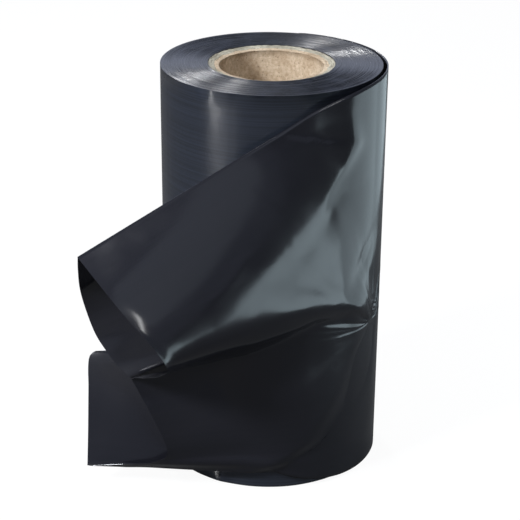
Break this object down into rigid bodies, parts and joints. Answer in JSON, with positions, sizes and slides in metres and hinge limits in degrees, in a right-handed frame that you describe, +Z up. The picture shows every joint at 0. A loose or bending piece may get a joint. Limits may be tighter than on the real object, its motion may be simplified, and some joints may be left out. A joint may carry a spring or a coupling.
{
  "type": "roll of poly tubing",
  "caption": "Roll of black lay-flat film tubing on a cardboard core, standing on end, its free end drawn across the front with the cut mouth open.",
  "frame": {"origin": "on the core's axis, at the core's lower end, which is the plane the roll stands on", "axes": "+Z up along the core's axis; -Y is the front, where the free end crosses the roll; the open mouth points to -X"},
  "size_m": [0.2174, 0.232, 0.305],
  "materials": {
    "cardboard": "spiral-wound kraft board, matt",
    "film": "blown polyethylene film, glossy black"
  },
  "bodies": {
    "root": {"core": "cardboard", "tubing": "film"}
  },
  "joints": []
}
